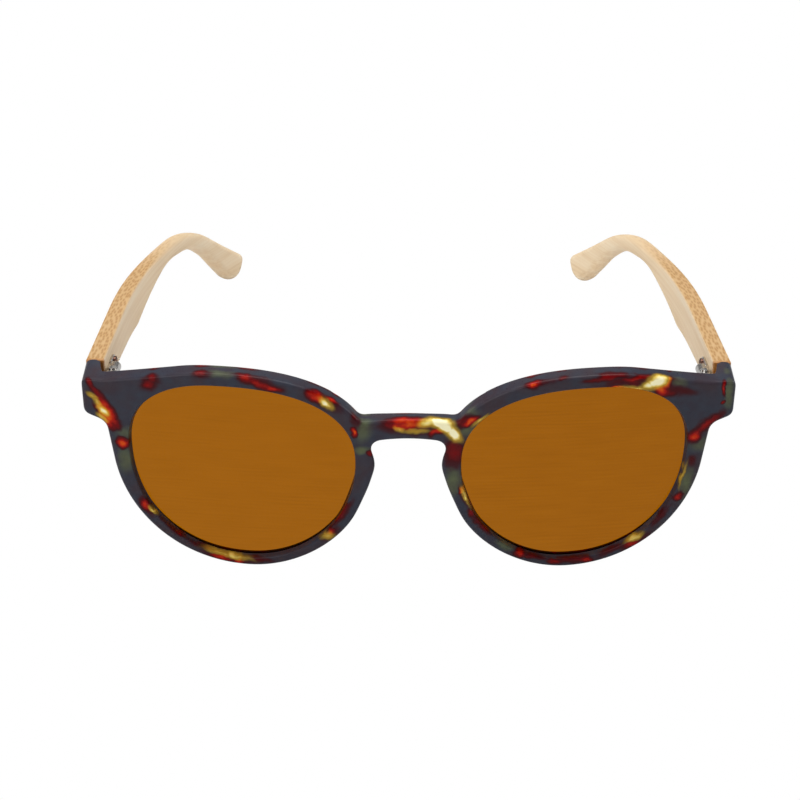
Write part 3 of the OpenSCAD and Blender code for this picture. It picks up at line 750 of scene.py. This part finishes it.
def lens_points(side):
    """Rings of the lens outline from its middle to its edge in front, then back to its middle."""
    edge = even(lens_ring(GROOVE, GROOVE, GROOVE), LENS_STEP) * (side, 1)
    middle = np.array([side * (LENS_IN + LENS_OUT) / 2, (LENS_LOW + LENS_HIGH) / 2])
    share = np.linspace(0, 1, LENS_RINGS)[1:] ** RING_POWER
    inset = 1 - LENS_BEVEL / np.linalg.norm(edge - middle, axis=1).mean()
    share = np.concatenate([share * inset, [1.0]])
    rows = middle + share[:, None, None] * (edge - middle)
    front_depth = np.where(share < 1, LENS_RECESS, LENS_RECESS + LENS_BEVEL)
    back = 2 * LENS_RECESS + LENS_THICK - front_depth
    u = np.concatenate([rows[..., 0], rows[::-1, :, 0]])
    v = np.concatenate([rows[..., 1], rows[::-1, :, 1]])
    depth = np.concatenate([front_depth, back[::-1]])[:, None] + 0 * u
    poles = [[*middle, LENS_RECESS], [*middle, LENS_RECESS + LENS_THICK]]
    return closed_tube(u, v, depth, poles)


for side, name in SIDES:
    plan, faces = lens_points(side)
    make_piece("lens_" + name + "_tinted", front_place(*plan.T), faces, "front", amber,
               ["lens_" + name])

# %% [markdown]
# ## Bamboo temples
# A temple is cut from laminated bamboo board: straight fibres run along the board, so they cross
# the drooping tip at a slant. The wide faces are pale cream with fine straight grain. The narrow
# top and bottom edges are honey coloured, sprinkled with the short brown dashes of cut fibres.
# The butt end by the hinge is stained amber where the lacquer soaked into the end grain.

# %% Bamboo finish
def bamboo():
    """Sanded and lacquered bamboo: silky, pale on its faces, dashed with brown on its edges."""
    material, tree, shader = new_finish("lacquered bamboo")
    plan = add(tree, "Attribute", attribute_name="plan").outputs["Vector"]
    on_edge = add(tree, "Attribute", attribute_name="edge").outputs["Fac"]
    along = add(tree, "SeparateXYZ", {"Vector": plan}).outputs["X"]
    dash_mm, dash_run_mm, soak_mm = 0.62, 3.0, 1.6
    # fine fibres, then wide strips: run along the board and width in millimetres, and detail
    grains = []
    for run_mm, width_mm, detail in ((30.0, 0.5, 3.0), (60.0, 2.6, 1.0)):
        stretch = add(tree, "Mapping", {"Vector": plan, "Scale": (1 / run_mm, 1 / width_mm, 1 / width_mm)})
        noise = add(tree, "TexNoise", {"Vector": stretch, "Scale": 1.0, "Detail": detail})
        grains.append(noise)
    fibre, strips = grains
    both = add(tree, "Math", {0: fibre, 1: strips}, operation="ADD")
    mean = add(tree, "Math", {0: both, 1: 0.5}, operation="MULTIPLY")
    face_colour = add(tree, "ValToRGB", {"Fac": mean}, stops=[
        (0.3, "#dabc92"), (0.45, "#e6cca6"), (0.6, "#ecd8b8"), (0.75, "#e6cea8")])
    dash_map = add(tree, "Mapping", {
        "Vector": plan, "Rotation": (math.pi / 2, 0, 0), "Scale": (1 / dash_run_mm, 1.0, 1 / dash_mm)})
    dash = add(tree, "TexVoronoi", {"Vector": dash_map, "Scale": 1.0, "Randomness": 0.9},
               voronoi_dimensions="2D")
    edge_colour = add(tree, "ValToRGB", {"Fac": dash}, stops=[
        (0.08, "#ac7e48"), (0.3, "#ba8f5a"), (0.5, "#c8a270"), (0.7, "#cca878")])
    soak = add(tree, "Math", {0: fibre, 1: soak_mm, 2: along}, operation="MULTIPLY_ADD")
    stain = add(tree, "MapRange", {
        "Value": soak, "From Min": 0.7, "From Max": 2.0, "To Min": 0.95, "To Max": 0.0})
    colour = face_colour
    for share, layer in ((on_edge, edge_colour), (stain, linear("#a8641a"))):
        colour = add(tree, "Mix", {0: share, 6: colour, 7: layer}, data_type="RGBA")
    bump = add(tree, "Bump", {"Height": fibre, "Strength": 0.12, "Distance": 0.0001})
    rough = add(tree, "MapRange", {"Value": fibre, "To Min": 0.42, "To Max": 0.58})
    connect(tree, shader, {"Base Color": colour, "Roughness": rough, "Normal": bump})
    return material


bamboo_wood = bamboo()
print("bamboo nodes:", len(bamboo_wood.node_tree.nodes))

# %% Temple outline
TEMPLE_LENGTH, TEMPLE_THICK = 147.0, 4.1
HALF_END = 4.4
BUTT_GAP = 0.08
EAR_PLACE, EAR_ANGLE = 112.0, math.radians(27.5)
PADDLE_WIDTH, PADDLE_FLAT = 8.2, 7.5
HOLLOW_SHARE, HOLLOW_LIFT = 0.47, 1.2
NECK_PLACE, WAIST_PLACE, CORNER_PLACE, ROOT_PLACE = EAR_PLACE + 1, 91.0, 56.0, 12.0
WAIST_HEIGHT, NECK_HEIGHT, CORNER_HEIGHT, ROOT_HEIGHT = 4.3, 5.9, 10.0, 8.0
BUTT_EASE, SIDE_VIEW_STEP = 0.4, 0.6

drop = np.array([math.sin(EAR_ANGLE), math.cos(EAR_ANGLE)])
tip_top = np.array([TEMPLE_LENGTH, HALF_END - (TEMPLE_LENGTH - EAR_PLACE) * math.tan(EAR_ANGLE)])
tip_low = tip_top - PADDLE_WIDTH * drop
heel = tip_low + PADDLE_FLAT * np.array([-drop[1], drop[0]])
neck = np.array([NECK_PLACE, HALF_END - NECK_HEIGHT])
hollow = neck + HOLLOW_SHARE * (heel - neck) + (0, HOLLOW_LIFT)
# place along the temple, height and radius of each corner, from the butt end along the lower edge
temple_corners = [
    (BUTT_GAP, BUTT_EASE - HALF_END, BUTT_EASE), (ROOT_PLACE, HALF_END - ROOT_HEIGHT, 20.0),
    (CORNER_PLACE, HALF_END - CORNER_HEIGHT, 18.0), (WAIST_PLACE, HALF_END - WAIST_HEIGHT, 60.0),
    (*neck, 36.0), (*hollow, 30.0), (*heel, 8.0), (*tip_low, 4.6), (*tip_top, 2.2),
    (EAR_PLACE, HALF_END, 62.0), (BUTT_GAP, HALF_END, BUTT_EASE)]
side_view = rounded([temple_corners[-1], *temple_corners, temple_corners[0]])
side_view = even(side_view, SIDE_VIEW_STEP)
print("temple outline:", len(side_view), "points,", np.ptp(side_view, axis=0).round(1), "mm")

# %% Temple meshes
INWARD_START, INWARD_R = 39.0, 296.0
HINGE_EDGE_R, NECK_EDGE_R, PADDLE_EDGE_R = 0.4, 1.3, 0.2
NECK_STRETCH, PADDLE_STRETCH, PALE_STRETCH = (55, 100), (118, 128), (70, 108)
EDGE_SHARE, PALE_SHARE, TEMPLE_GRID = 0.6, 0.75, 1.4


def temple_place(along, height, depth, side):
    """Plan to metres: straight at first, then along a circle that leads the tip towards the head."""
    past = np.maximum(along - INWARD_START, 0)
    radius = INWARD_R - depth
    x = HALF_WIDTH - INWARD_R + np.sqrt(radius ** 2 - past ** 2)
    return place(side * x, along, height)


def rise(value, start, stop):
    """A smooth step from nought to one between two places."""
    way = np.clip((value - start) / (stop - start), 0, 1)
    return way ** 2 * (3 - 2 * way)


def wood_edge(points):
    """Radius of the long edges: eased by the hinge, rounder towards the neck, roundest on the paddle."""
    along = points[:, 0]
    return (HINGE_EDGE_R + NECK_EDGE_R * rise(along, *NECK_STRETCH)
            + PADDLE_EDGE_R * rise(along, *PADDLE_STRETCH))


wood_thickness = all_round(TEMPLE_THICK)
for side, name in SIDES:
    rows = band(side_view, wood_edge, wood_edge, wood_thickness, all_round(0.0))
    plan, faces = plate([rows], TEMPLE_GRID, wood_thickness)
    temple = make_piece("temple_" + name + "_bamboo", temple_place(*plan.T, side), faces, "temple_" + name,
                        bamboo_wood, ["temple_" + name], plan)
    # the honey colour of the narrow edges pales towards the rounded neck
    depth = plan[:, 2]
    on_edge = np.clip(np.minimum(depth, TEMPLE_THICK - depth) / (EDGE_SHARE * wood_edge(plan)), 0, 1)
    on_edge = on_edge * (1 - PALE_SHARE * rise(plan[:, 0], *PALE_STRETCH))
    layer = temple.data.attributes.new("edge", "FLOAT", "POINT")
    layer.data.foreach_set("value", on_edge.astype(np.float32))

# %% [markdown]
# ## Hinges
# The leaf, slider and collar keep the shape of the frame. The spring housing is made again as a
# rounded barrel on a thin foot, and the screws get what real ones have: a domed head with a slot.
# The spring in the housing is wound again as a round wire. Most are nickel-plated steel, bright and
# slightly uneven. The housing screws are painted a dark red-brown, which is painted shade and a painted
# reflection of the tortoiseshell and bamboo round them; the springs are plain wire and the collars are
# brass.

# %% Metal finishes
def metal(name, colour, dark, low_rough, high_rough, grain_mm):
    """Drawn or turned metal: bright, with fine uneven polish and a trace of tarnish."""
    material, tree, shader = new_finish(name)
    here = add(tree, "TexCoord").outputs["Object"]
    grain = add(tree, "TexNoise", {"Vector": here, "Scale": 1 / (grain_mm * MM), "Detail": 3.0})
    tone = add(tree, "ValToRGB", {"Fac": grain}, stops=[(0.3, dark), (0.6, colour)])
    rough = add(tree, "MapRange", {"Value": grain, "To Min": low_rough, "To Max": high_rough})
    connect(tree, shader, {"Base Color": tone, "Roughness": rough, "Metallic": 1.0})
    return material


nickel = metal("nickel-plated steel", "#cfccc8", "#bdb8b2", 0.18, 0.28, 1.2)
spring_wire = metal("spring steel wire", "#b4b3b2", "#8e8c8a", 0.25, 0.4, 0.5)
brass = metal("turned brass", "#cfae6a", "#a98646", 0.22, 0.4, 0.5)
# the housing screws' dark red-brown is painted shade and a painted reflection of the tortoiseshell and
# bamboo round them
screw_steel_painted_reflection = metal("screw steel painted with shade and reflection", "#7a5a4e", "#3c2822", 0.2, 0.4, 0.8)

node_finish = {"front_leaf": nickel, "slider": nickel, "spring_collar": brass}
for part, finish in node_finish.items():
    for _, name in SIDES:
        for material_slot in frame["nodes"][part + "_" + name].material_slots:
            material_slot.material = finish
print("finishes set on", 2 * len(node_finish), "pieces of the frame")

# %% Screw maker
SLOT_WIDTH, SLOT_DEEP = 0.3, 0.25
SLOT_EASE, RIM_ANGLE, DOME_SHARE = 0.02, 0.08, 0.45
HEAD_COLUMNS, HEAD_ROWS = 9, 11


def screw(head_r, head_low, head_high, shank_r, shank_low):
    """A slotted screw: a dome over columns across the head, two of them sunk, then head side and shank."""
    half = SLOT_WIDTH / 2
    lean = np.linspace(RIM_ANGLE, math.acos((half + SLOT_EASE) / head_r), HEAD_COLUMNS)
    outer = head_r * np.cos(lean)
    across = np.concatenate([-outer, [-half, -half, half, half], outer[::-1]])
    sunk = np.zeros(len(across), bool)
    sunk[len(outer) + 1:len(outer) + 3] = True
    reach = np.linspace(-1, 1, HEAD_ROWS)
    a = np.repeat(across[:, None], len(reach), axis=1)
    b = np.sqrt(head_r ** 2 - a ** 2) * reach
    dome = head_high - DOME_SHARE * (head_high - head_low) * (a ** 2 + b ** 2) / head_r ** 2
    height = np.where(sunk[:, None], head_high - SLOT_DEEP, dome)
    ids = np.arange(a.size).reshape(a.shape)
    squares = np.stack([ids[:-1, :-1], ids[1:, :-1], ids[1:, 1:], ids[:-1, 1:]], axis=-1)
    faces = squares.reshape(-1, 4).tolist()
    border = np.concatenate([ids[:-1, 0], ids[-1, :-1], ids[:0:-1, -1], ids[0, :0:-1]])
    cap = np.stack([a, b, height], axis=-1).reshape(-1, 3)
    ring = cap[border]
    thin = ring[:, :2] * (shank_r / head_r)
    levels = [(ring[:, :2], head_low), (thin, head_low), (thin, shank_low)]
    sides = [np.column_stack([flat, np.full(len(flat), level)]) for flat, level in levels]
    around = len(border)
    rows = [border] + [len(cap) + around * number + np.arange(around) for number in range(len(levels))]
    for upper, lower in zip(rows, rows[1:]):
        faces += np.column_stack([upper, np.roll(upper, -1), np.roll(lower, -1), lower]).tolist()
    pole = len(cap) + around * len(levels)
    faces += np.column_stack([rows[-1], np.roll(rows[-1], -1), np.full(around, pole)]).tolist()
    return np.vstack([cap, *sides, [[0, 0, shank_low]]]), faces


# %% Screws
SCREW_BACK = 10.25
TAIL_FACE = 0.9
for side, name in SIDES:
    points, faces = screw(head_r=1.05, head_low=1.83, head_high=2.33, shank_r=0.6, shank_low=-2.4)
    make_piece("hinge_screw_" + name + "_turned", pin_place(side, *points.T), faces,
               "front", nickel, ["hinge_screw_" + name])
    points, faces = screw(head_r=1.1, head_low=0.03, head_high=0.78, shank_r=0.5, shank_low=-2.8)
    a, b, height = points.T
    points = pin_place(side, TAIL_FACE - height, SCREW_BACK + a, b)
    make_piece("housing_screw_" + name + "_turned", points, faces,
               "temple_" + name, screw_steel_painted_reflection, ["housing_screw_" + name])

# %% Spring housings
BARREL_R, BARREL_FROM, BARREL_TO = 1.2, 1.9, 7.3
WOOD_FACE, FOOT_R, FOOT_FROM = 1.45, 1.45, 5.6
DOME_LONG, DOME_FLAT, POLE_OUT = 1.0, 0.35, 0.5
FOOT_EDGE_R, FOOT_BACK_R, FOOT_STEP, FOOT_GRID = 0.12, 0.02, 0.2, 0.5
TURN_STEPS, DOME_STEPS, FOOT_STEPS = 25, 12, 24


def barrel():
    """Half-round bar that dies into the wood: sections along the spring, shrinking to a dome at the end."""
    turn = np.linspace(-math.pi / 2, math.pi / 2, TURN_STEPS)
    over_end = np.sin(np.linspace(0, math.pi / 2, DOME_STEPS)[:-1])
    along = np.concatenate([[BARREL_FROM], BARREL_TO - DOME_LONG + over_end])
    past = np.clip(along - BARREL_TO + DOME_LONG, 0, 1)
    radius = BARREL_R * (DOME_FLAT + (1 - DOME_FLAT) * np.sqrt(1 - past ** 2))
    dx = np.column_stack([-radius[:, None] * np.cos(turn), np.full((len(along), 2), WOOD_FACE)])
    up = np.column_stack([radius[:, None] * np.sin(turn), radius, -radius])
    back = np.repeat(along[:, None], dx.shape[1], axis=1)
    return closed_tube(dx, back, up, [[POLE_OUT, BARREL_FROM, 0], [POLE_OUT, BARREL_TO, 0]])


def foot():
    """Thin plate under the fixing screw, with a round end and eased edges, as (dx, back, up)."""
    turn = np.linspace(-math.pi / 2, math.pi / 2, FOOT_STEPS)
    end = np.column_stack([SCREW_BACK + FOOT_R * np.cos(turn), FOOT_R * np.sin(turn)])
    shape = np.vstack([end, [[FOOT_FROM, FOOT_R], [FOOT_FROM, -FOOT_R]]])
    thickness = all_round(WOOD_FACE - TAIL_FACE)
    rows = band(even(shape, FOOT_STEP), all_round(FOOT_EDGE_R), all_round(FOOT_BACK_R), thickness,
                all_round(0.0))
    plan, faces = plate([rows], FOOT_GRID, thickness)
    return np.column_stack([TAIL_FACE + plan[:, 2], plan[:, 0], plan[:, 1]]), faces


barrel_points, barrel_faces = barrel()
foot_points, foot_faces = foot()
housing_points = np.vstack([barrel_points, foot_points])
housing_faces = barrel_faces + [[index + len(barrel_points) for index in face] for face in foot_faces]
for side, name in SIDES:
    make_piece("housing_" + name + "_barrel", pin_place(side, *housing_points.T), housing_faces,
               "temple_" + name, nickel, ["housing_" + name])

# %% Hinge springs
SPRING_FROM, SPRING_LONG, SPRING_TURNS, SPRING_TRAVEL = 2.63, 3.14, 5, 0.9
COIL_R, WIRE_R = 0.68, 0.15
STEPS_A_TURN, WIRE_SIDES = 32, 12


def coil():
    """Helical wire as (dx, back, up): a circle carried round the rod while it moves evenly along it."""
    turn = np.linspace(0, 2 * math.pi * SPRING_TURNS, STEPS_A_TURN * SPRING_TURNS + 1)[:, None]
    round_wire = np.linspace(0, 2 * math.pi, WIRE_SIDES + 1)[None, :-1]
    radius = COIL_R + WIRE_R * np.cos(round_wire)
    middle = SPRING_FROM + WIRE_R + (SPRING_LONG - 2 * WIRE_R) * turn / turn[-1]
    wire = np.stack([radius * np.cos(turn), middle + WIRE_R * np.sin(round_wire), radius * np.sin(turn)])
    return closed_tube(*wire, wire[:, [0, -1]].mean(axis=2).T)


coil_points, coil_faces = coil()
for side, name in SIDES:
    spring = make_piece("spring_" + name + "_coil", pin_place(side, *coil_points.T), coil_faces,
                        "temple_" + name, spring_wire, ["spring_" + name])
    front_end = pin_place(side, 0.0, SPRING_FROM, 0.0)
    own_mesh(spring)

# %% [markdown]
# ## Floor, light and camera
# The glasses stand on a plain white floor between large soft lamps, in a dim studio. The floor is
# burnt out to pure white for the camera and through the lenses, as in a cut-out photo.

# %% Floor
WHITE, DIM_FLOOR, DIM_SKY = 1.0, 0.65, 0.16


def seen_white(tree, white, other):
    """White for the camera and through the lenses, and another shader for all other rays."""
    path = add(tree, "LightPath").outputs
    seen = add(tree, "Math", {0: path["Is Camera Ray"], 1: path["Is Transmission Ray"]}, operation="MAXIMUM")
    return add(tree, "MixShader", {0: seen, 1: other, 2: white})


def paper_floor():
    """White paper: pure white where it is seen, dim in reflections, and else a soft bounce of light."""
    material = bpy.data.materials.new("white paper")
    tree = empty_tree(material)
    glossy = add(tree, "LightPath").outputs["Is Glossy Ray"]
    plain = add(tree, "BsdfDiffuse", {"Color": linear("#e6e6e6")})
    own = add(tree, "Emission", {"Color": linear("#ffffff"), "Strength": WHITE})
    dim = add(tree, "Emission", {"Color": linear("#ffffff"), "Strength": DIM_FLOOR})
    bounce = add(tree, "MixShader", {0: glossy, 1: plain, 2: dim})
    add(tree, "OutputMaterial", {"Surface": seen_white(tree, own, bounce)})
    return material


FLOOR_HALF = 3.0
floor_mesh = bpy.data.meshes.new("floor")
floor_corners = [(FLOOR_HALF * x, FLOOR_HALF * y, 0) for x, y in ((-1, -1), (1, -1), (1, 1), (-1, 1))]
floor_mesh.from_pydata(floor_corners, [], [(0, 1, 2, 3)])
floor_mesh.materials.append(paper_floor())
floor = bpy.data.objects.new("floor", floor_mesh)
bpy.context.scene.collection.objects.link(floor)
print("floor is", 2 * FLOOR_HALF, "m wide")

# %% World and lamps
scene = bpy.context.scene
world = bpy.data.worlds.new("studio")
scene.world = world
sky = empty_tree(world)
soft = add(sky, "Background", {"Color": linear("#ffffff"), "Strength": DIM_SKY})
white = add(sky, "Background", {"Color": linear("#ffffff"), "Strength": WHITE})
add(sky, "OutputWorld", {"Surface": seen_white(sky, white, soft)})

LAMP_TARGET, STEEP = (0, 0, 0.02), 0.9
# name, width in metres, power in watts and place in metres
LAMPS = [
    ("overhead softbox", 0.8, 9.6, (0.0, 0.15, 1.0)),
    ("front softbox", 0.7, 5.6, (-0.5, -0.9, 0.7)),
    ("back softbox", 0.7, 0.5, (0.0, 1.2, 0.7)),
    ("left softbox", 0.5, 2.3, (-0.9, 0.4, 0.4)),
    ("right softbox", 0.5, 2.7, (0.9, 0.4, 0.4)),
]


def soft_lamp(name, width, power, location):
    """A square lamp that looks from its place at the glasses."""
    lamp = bpy.data.lights.new(name, "AREA")
    lamp.size = width
    lamp.energy = power
    lamp_object = bpy.data.objects.new(name, lamp)
    gaze = np.array(LAMP_TARGET) - np.array(location)
    gaze = gaze / np.linalg.norm(gaze)
    side = np.cross(gaze, (0, 1, 0) if abs(gaze[2]) > STEEP else (0, 0, 1))
    side = side / np.linalg.norm(side)
    turn = np.column_stack([side, np.cross(side, gaze), -gaze])
    lamp_object.matrix_world = Matrix.LocRotScale(location, Matrix(turn.tolist()).to_quaternion(), None)
    scene.collection.objects.link(lamp_object)


for lamp_values in LAMPS:
    soft_lamp(*lamp_values)
print("lamps:", len(LAMPS))

# %% Camera
CAMERA_AT = np.array([-2.431, -456.54, 266.64]) * MM
YAW, PITCH, ROLL = (math.radians(angle) for angle in (0.08, 30.197, 0.257))
FOCAL_PIXELS, IMAGE_PIXELS, SENSOR_MM = 2018.2, 800, 36.0
gaze = np.array([math.sin(YAW) * math.cos(PITCH), math.cos(YAW) * math.cos(PITCH), -math.sin(PITCH)])
level = np.array([math.cos(YAW), -math.sin(YAW), 0])
over = np.cross(level, gaze)
right = level * math.cos(ROLL) + over * math.sin(ROLL)
over = over * math.cos(ROLL) - level * math.sin(ROLL)
camera_data = bpy.data.cameras.new("camera")
camera_data.sensor_width = SENSOR_MM
camera_data.lens = FOCAL_PIXELS / IMAGE_PIXELS * SENSOR_MM
camera = bpy.data.objects.new("camera", camera_data)
turn = Matrix(np.column_stack([right, over, -gaze]).tolist())
camera.matrix_world = Matrix.LocRotScale(CAMERA_AT.tolist(), turn.to_quaternion(), None)
scene.collection.objects.link(camera)
scene.camera = camera
scene.view_settings.view_transform = "Standard"
print("camera at", CAMERA_AT.round(3), "m, focal length", round(camera_data.lens, 1), "mm")

# %% Update the scene
bpy.context.view_layer.update()
